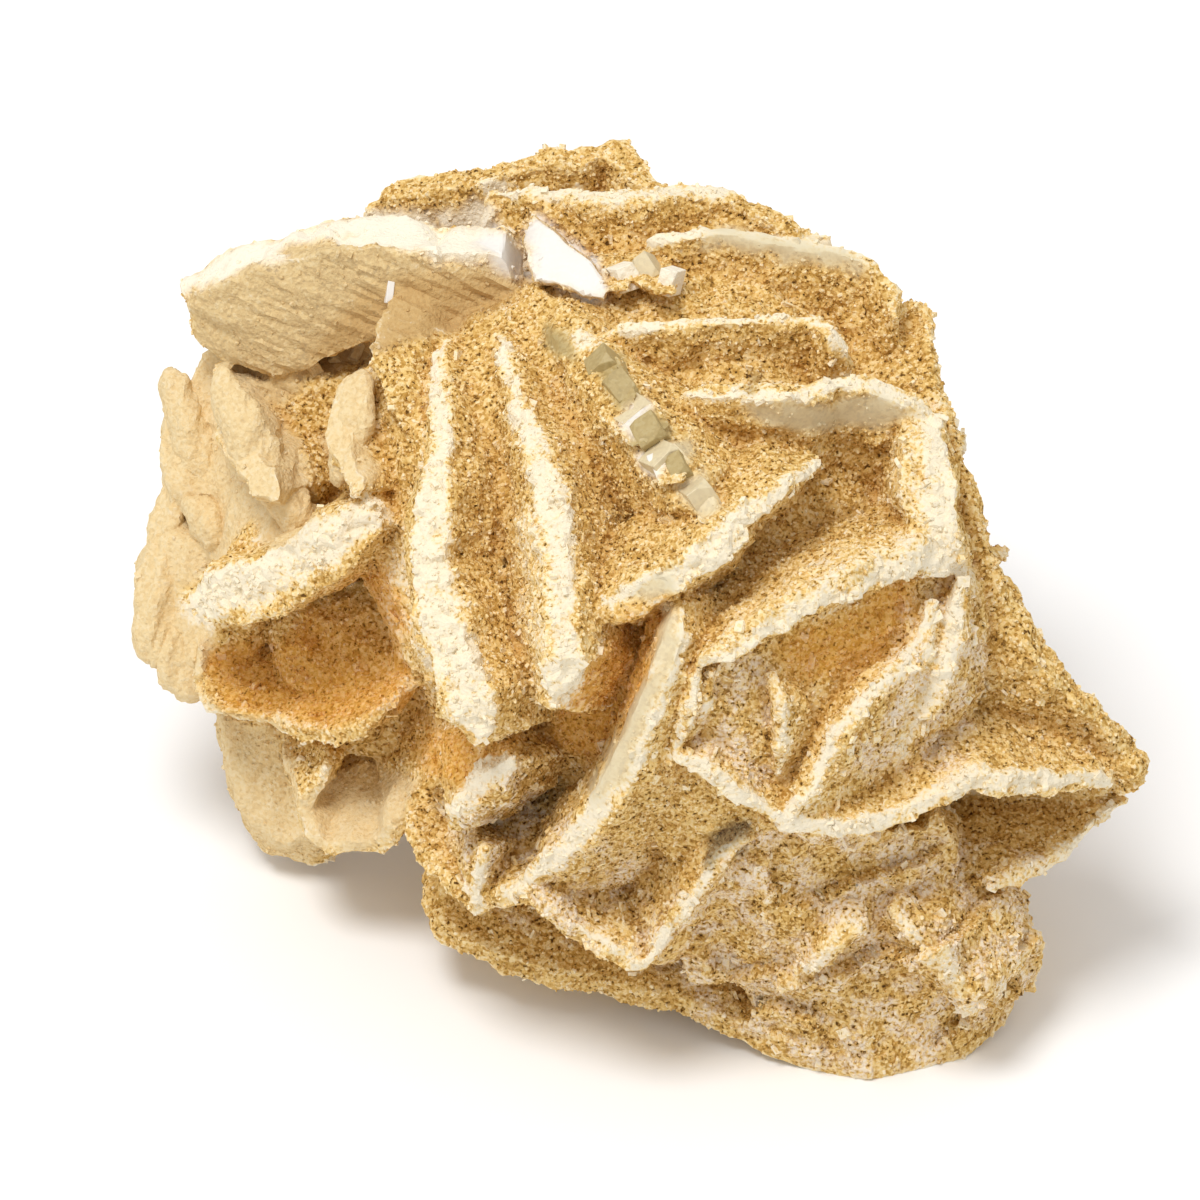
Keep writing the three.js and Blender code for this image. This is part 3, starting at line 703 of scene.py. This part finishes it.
# Sand and crumbs, scattered on the stone and made part of one mesh for each lot
sandLots = {
    "sandLeft": {"reach": (-60, -12), "perSquareMm": 3.2, "size": (0.1, 0.37), "seed": 3},
    "sandMiddle": {"reach": (-12, 10), "perSquareMm": 3.2, "size": (0.1, 0.37), "seed": 5},
    "sandRight": {"reach": (10, 60), "perSquareMm": 3.1, "size": (0.1, 0.37), "seed": 8},
}
backSand = {"perSquareMm": 0.62, "size": (0.12, 0.4), "seed": 13}
rimCrumbs = {"perSquareMm": 0.5, "size": (0.12, 0.5), "seed": 21}
paleFlakes = {"perSquareMm": 0.7, "size": (0.12, 0.66), "seed": 34, "tone": (0.08, 0.45), "cluster": 3.4}
grainTones = (-0.1, 0.24)
sandEdges = {"seen": (0.05, 0.4), "clustered": (-0.2, 0.35), "flakesOffCrust": 0.2}

# The bits that are scattered, 2 across before they are scaled, so a lot's sizes are half widths
grainShape = {"round": True, "stretch": (1.15, 0.9, 0.75), "stray": 0.18, "seed": 4}
crumbShape = {"round": False, "stretch": (1, 0.75, 0.5), "stray": 0.35, "seed": 9}
flakeShape = {"round": False, "stretch": (1, 0.8, 0.3), "stray": 0.35, "seed": 9}


def makeBit(name, shape):
    bpy.ops.object.select_all(action="DESELECT")
    if shape["round"]:
        bpy.ops.mesh.primitive_uv_sphere_add(segments=4, ring_count=2, radius=1)
    else:
        bpy.ops.mesh.primitive_cube_add(size=2)
    bit = bpy.context.object
    bit.name = name
    bpy.ops.object.mode_set(mode="EDIT")
    bpy.ops.mesh.select_all(action="SELECT")
    bpy.ops.transform.resize(value=shape["stretch"])
    bpy.ops.transform.vertex_random(offset=shape["stray"], seed=shape["seed"])
    bpy.ops.object.mode_set(mode="OBJECT")
    return bit


def scatter(name, host, grain, lot, where):
    storeAttribute(host, "where", where)
    onlySelect(host)
    bpy.ops.object.duplicate()
    sand = bpy.context.object
    sand.name = sand.data.name = name
    tree = bpy.data.node_groups.new(name, "GeometryNodeTree")
    tree.interface.new_socket("Geometry", in_out="INPUT", socket_type="NodeSocketGeometry")
    tree.interface.new_socket("Geometry", in_out="OUTPUT", socket_type="NodeSocketGeometry")
    wire = Wire(tree)
    source = wire.make("NodeGroupInput")
    share = wire.make("GeometryNodeInputNamedAttribute", {"data_type": "FLOAT"}, {"Name": "where"})
    spots = wire.make("GeometryNodeDistributePointsOnFaces", {"distribute_method": "RANDOM"}, {
        "Mesh": source, "Density": share * (lot["perSquareMm"] / mm ** 2), "Seed": lot["seed"],
    })
    turn = wire.make("FunctionNodeRandomValue", {"data_type": "FLOAT_VECTOR"}, {
        "Min": (0, 0, 0), "Max": (math.tau,) * 3, "Seed": lot["seed"] + 1,
    })
    small, large = lot["size"]
    chance = wire.make("FunctionNodeRandomValue", {"data_type": "FLOAT"}, {
        "Seed": lot["seed"] + 2,
    }, out=1)
    size = small * mm + chance * chance * ((large - small) * mm)  # most are small
    shape = wire.make("GeometryNodeObjectInfo", {}, {"Object": grain}, out="Geometry")
    grains = wire.make("GeometryNodeInstanceOnPoints", {}, {
        "Points": spots, "Instance": shape, "Rotation": turn, "Scale": size,
    })
    dark, light = lot.get("tone", grainTones)
    tone = wire.make("FunctionNodeRandomValue", {"data_type": "FLOAT"}, {
        2: dark, 3: light, "Seed": lot["seed"] + 3,
    }, out=1)
    toned = wire.make("GeometryNodeStoreNamedAttribute", {"data_type": "FLOAT", "domain": "INSTANCE"}, {
        "Geometry": grains, "Name": "grainTone", "Value": tone,
    })
    real = wire.make("GeometryNodeRealizeInstances", {}, {"Geometry": toned})
    wire.make("NodeGroupOutput", {}, {"Geometry": real})
    applyModifier(sand, "NODES", node_group=tree)
    host.data.attributes.remove(host.data.attributes["where"])
    sand.data.materials.clear()
    print(name + ":", trianglesOf(sand), "triangles")
    return sand


def readAttribute(obj, name):
    values = np.empty(len(obj.data.vertices), np.float32)
    obj.data.attributes[name].data.foreach_get("value", values)
    return values.astype(float)


def makeSand(stone):
    points = meshArrays(stone)[0]
    right = layoutOf(points)[0]
    names = ("sandy", "shown", "facing", "rim", "above", "fresh", "glassy", "crust")
    sandy, shown, facing, rim, above, fresh, glassy, crust = (readAttribute(stone, name) for name in names)
    seen = ease(*sandEdges["seen"], facing)
    grain = makeBit("sandGrain", grainShape)
    crumb = makeBit("rimCrumb", crumbShape)
    flake = makeBit("paleFlake", flakeShape)
    lots = []
    for name, lot in sandLots.items():
        low, high = lot["reach"]
        where = sandy * shown * seen * (right >= low) * (right < high)
        lots.append(scatter(name, stone, grain, lot, where))
    lots.append(scatter("sandBack", stone, grain, backSand, sandy * (1 - shown)))
    lots.append(scatter("rimCrumbs", stone, crumb, rimCrumbs, rim * above * (1 - fresh) * (1 - glassy)))
    clustered = ease(*sandEdges["clustered"], ragged(points, [(paleFlakes["cluster"], 1)])[:, 0])
    scarce = sandEdges["flakesOffCrust"]
    where = sandy * shown * clustered * (scarce + (1 - scarce) * crust)
    lots.append(scatter("paleFlakes", stone, flake, paleFlakes, where))
    for pattern in (grain, crumb, flake):
        bpy.data.objects.remove(pattern)
    return lots


# Crystals broken clean, each a cut block bedded in the stone:
# middle, size along, across and deep, turns in degrees, and how far it stands proud
crystals = [
    # the smoky blocks are dark olive gypsum, with painted shade, alternating with the glassy ones
    {"at": (-3.4, 24), "size": (3, 2.8, 3), "turns": (14, 26, -46), "proud": 0.25, "finish": "smoky"},
    {"at": (-1.9, 21.6), "size": (3.2, 2.4, 3), "turns": (-12, -24, -58), "proud": 0.15, "finish": "smoky"},
    {"at": (-0.8, 19.4), "size": (1.6, 3.6, 3), "turns": (-10, 34, -48), "proud": 0.5, "finish": "glassy"},
    {"at": (1, 17.4), "size": (3, 2.8, 3), "turns": (8, -26, -56), "proud": 0.15, "finish": "smoky"},
    {"at": (2, 14.9), "size": (1.8, 3.2, 3), "turns": (-14, 32, -44), "proud": 0.5, "finish": "glassy"},
    {"at": (3.9, 13.9), "size": (2.4, 1.8, 3), "turns": (10, -28, -60), "proud": 0.15, "finish": "smoky"},
    {"at": (5.9, 11), "size": (3.4, 2.6, 3), "turns": (-8, 22, -54), "proud": 0.35, "finish": "glassy"},
    {"at": (-1.6, 33), "size": (2.2, 2.6, 3), "turns": (10, 20, 18), "proud": 0.9, "finish": "chalk"},
    {"at": (0.8, 33.8), "size": (2, 2.8, 3), "turns": (-16, -12, 32), "proud": 1.2, "finish": "glassy"},
    {"at": (3, 32.6), "size": (1.6, 2.6, 3), "turns": (12, -20, -14), "proud": 0.9, "finish": "chalk"},
    {"at": (-24.9, 32), "size": (0.7, 3, 1.2), "turns": (0, 10, -6), "proud": 0.4, "finish": "fresh"},
    {"at": (-32.6, 24), "size": (1.2, 2, 1.4), "turns": (24, 20, 30), "proud": 0.6, "finish": "cream"},
    {"at": (-28.4, 25.8), "size": (1, 1.8, 1.2), "turns": (-20, 14, -24), "proud": 0.6, "finish": "cream"},
    {"at": (-30.4, 25), "size": (0.9, 1.4, 1.2), "turns": (16, -24, 50), "proud": 0.5, "finish": "cream"},
]
crystalBevel = 0.06
crystalCuts = [  # place as shares of the size, and direction
    ((0.36, 0.4, 0.42), (0.8, 0.5, 0.7)),
    ((-0.3, -0.4, 0.46), (-0.4, -0.6, 0.9)),
]

# Smooth petals at the left end, seen edge on: middle, size across, along and deep, turns in degrees
petals = [
    {"at": (-47.8, 4), "size": (5, 20, 6), "turns": (0, -14, -8), "proud": 0.8},
    {"at": (-44.4, 16), "size": (5, 17, 7), "turns": (4, 16, 18), "proud": 1.2},
    {"at": (-37.4, 15.6), "size": (6, 20, 7), "turns": (-4, -22, 28), "proud": 1.2},
    {"at": (-42.4, 7.4), "size": (4.4, 10, 6), "turns": (0, 18, 36), "proud": 0.9},
    {"at": (-46.2, -4.6), "size": (5, 9, 6), "turns": (6, -14, 8), "proud": 0.8},
    {"at": (-28.6, 18), "size": (3.4, 12, 6), "turns": (0, 24, -14), "proud": 1},
]
petalShape = {"segments": 48, "rings": 32, "cutAt": 0.28, "cutTowards": (1, 0.1, -0.5), "voxel": 0.3}


# How near the stone's surface comes at this place on the show side
def bedded(stone, right, up):
    start = placeOf(right, up, showSide["distance"])
    place = stone.ray_cast(start, placeOf(right, up, 0) - start)[1]
    return layoutOf(np.array([place]))[2][0]


def setInStone(stone, obj, wanted, masks):
    right, up = wanted["at"]
    lean, tip, turn = (math.radians(angle) for angle in wanted["turns"])
    near = bedded(stone, right, up) + wanted["proud"] - 0.5 * wanted["size"][2]
    towards = Matrix.Rotation(math.radians(90 - showSide["elevation"]), 4, "X")
    turned = Matrix.Rotation(turn, 4, "Z")
    obj.matrix_world = (Matrix.Translation(placeOf(right, up, near)) @ towards @ turned
                        @ Matrix.Rotation(lean, 4, "X") @ Matrix.Rotation(tip, 4, "Y"))
    bpy.ops.object.transform_apply(location=True, rotation=True, scale=True)
    for name in masks:
        storeAttribute(obj, name, np.ones(len(obj.data.vertices)))


def joined(parts, name):
    bpy.ops.object.select_all(action="DESELECT")
    for part in parts:
        part.select_set(True)
    bpy.context.view_layer.objects.active = parts[0]
    bpy.ops.object.join()
    parts[0].name = parts[0].data.name = name
    print(name + ":", trianglesOf(parts[0]), "triangles")
    return parts[0]


# Points past a plane are pushed back onto it
def flatten(obj, place, direction):
    away = np.array(direction) / np.linalg.norm(direction)
    points = meshArrays(obj)[0]
    over = np.maximum((points - place) @ away, 0)
    obj.data.vertices.foreach_set("co", (points - np.outer(over, away)).ravel())
    obj.data.update()


def makePetals(stone):
    grown = []
    for order, petal in enumerate(petals):
        bpy.ops.object.select_all(action="DESELECT")
        bpy.ops.mesh.primitive_uv_sphere_add(segments=petalShape["segments"],
                                             ring_count=petalShape["rings"], radius=0.5)
        leaf = bpy.context.object
        leaf.name = f"petal{order}"
        bpy.ops.object.mode_set(mode="EDIT")
        bpy.ops.mesh.select_all(action="SELECT")
        bpy.ops.transform.resize(value=[side * mm for side in petal["size"]])
        bpy.ops.object.mode_set(mode="OBJECT")
        flatten(leaf, (petalShape["cutAt"] * petal["size"][0] * mm, 0, 0), petalShape["cutTowards"])
        setInStone(stone, leaf, petal, [])
        applyModifier(leaf, "REMESH", mode="VOXEL", voxel_size=petalShape["voxel"] * mm)
        grown.append(leaf)
    smooth = joined(grown, "leftPetals")
    weightGroup(smooth, "all", np.ones(len(smooth.data.vertices)))
    for name in ("wander", "folds", "grit"):
        roughen(smooth, name, "all")
    storeAttribute(smooth, "cream", np.ones(len(smooth.data.vertices)))
    smooth.vertex_groups.clear()
    bpy.ops.object.shade_smooth_by_angle(angle=math.radians(roseStone["smoothAngle"]))
    return smooth


def makeCrystals(stone):
    cut = []
    for order, crystal in enumerate(crystals):
        bpy.ops.object.select_all(action="DESELECT")
        bpy.ops.mesh.primitive_cube_add(size=1)
        block = bpy.context.object
        block.name = f"crystal{order}"
        bpy.ops.object.mode_set(mode="EDIT")
        bpy.ops.mesh.select_all(action="SELECT")
        bpy.ops.transform.resize(value=[side * mm for side in crystal["size"]])
        mirror = 1 if order % 2 else -1  # every other one is cut the other way round
        for shares, towards in crystalCuts:
            corner = [share * side * mm for share, side in zip(shares, crystal["size"])]
            corner[0] *= mirror
            away = (mirror * towards[0], *towards[1:])
            bpy.ops.mesh.bisect(plane_co=corner, plane_no=away, clear_outer=True, use_fill=True)
            bpy.ops.mesh.select_all(action="SELECT")
        bpy.ops.mesh.bevel(offset=crystalBevel * mm, segments=1, affect="EDGES")
        bpy.ops.object.mode_set(mode="OBJECT")
        finish = crystal["finish"]
        setInStone(stone, block, crystal, [finish] if finish in ("cream", "chalk") else [finish, "clean"])
        cut.append(block)
    return joined(cut, "brokenCrystals")


# The studio: floor, light and camera
studio = {
    "floorSize": 6,
    "floorColour": (0.93, 0.93, 0.93, 1),
    "floorRoughness": 0.9,
    "skyColour": (1, 1, 1, 1),
    "skyStrength": 0.72,
    "keyPlace": (-0.28, -0.3, 1.15),
    "keySize": 0.45,
    "keyPower": 8.5,
}


def makeStudio():
    bpy.ops.mesh.primitive_plane_add(size=studio["floorSize"])
    floor = bpy.context.object
    floor.name = "floor"
    paint = bpy.data.materials.new("paleFloor")
    paint.use_nodes = True
    shader = paint.node_tree.nodes["Principled BSDF"]
    shader.inputs["Base Color"].default_value = studio["floorColour"]
    shader.inputs["Roughness"].default_value = studio["floorRoughness"]
    floor.data.materials.append(paint)
    sky = bpy.data.worlds.new("softSky")
    sky.use_nodes = True
    background = sky.node_tree.nodes["Background"]
    background.inputs["Color"].default_value = studio["skyColour"]
    background.inputs["Strength"].default_value = studio["skyStrength"]
    bpy.context.scene.world = sky
    bpy.ops.object.light_add(type="AREA", location=studio["keyPlace"])
    key = bpy.context.object
    key.name = "keyLight"
    key.data.shape = "DISK"
    key.data.size = studio["keySize"]
    key.data.energy = studio["keyPower"]
    aim = placeOf(*showSide["lookAt"], 0)
    key.rotation_euler = (aim - key.location).to_track_quat("-Z", "Y").to_euler()
    bpy.context.scene.view_settings.view_transform = "Standard"


def makeCamera():
    aim = placeOf(*showSide["lookAt"], 0)
    stand = placeOf(*showSide["lookAt"], showSide["distance"])
    bpy.ops.object.camera_add(location=stand)
    camera = bpy.context.object
    camera.rotation_euler = (aim - stand).to_track_quat("-Z", "Y").to_euler()
    camera.data.sensor_width = showSide["sensor"]
    camera.data.lens = showSide["sensor"] * showSide["distance"] / showSide["frameWidth"]
    camera.data.clip_end = showSide["clipEnd"]
    bpy.context.scene.camera = camera


gypsum = sandyGypsum()
stone = makeStone()
pieces = [stone, makePetals(stone), makeCrystals(stone), *makeSand(stone)]
for piece in pieces:
    piece.data.materials.append(gypsum)
    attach(piece, "root")
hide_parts("sand_rose")
makeStudio()
makeCamera()
print("pieces:", {piece.name: trianglesOf(piece) for piece in pieces})
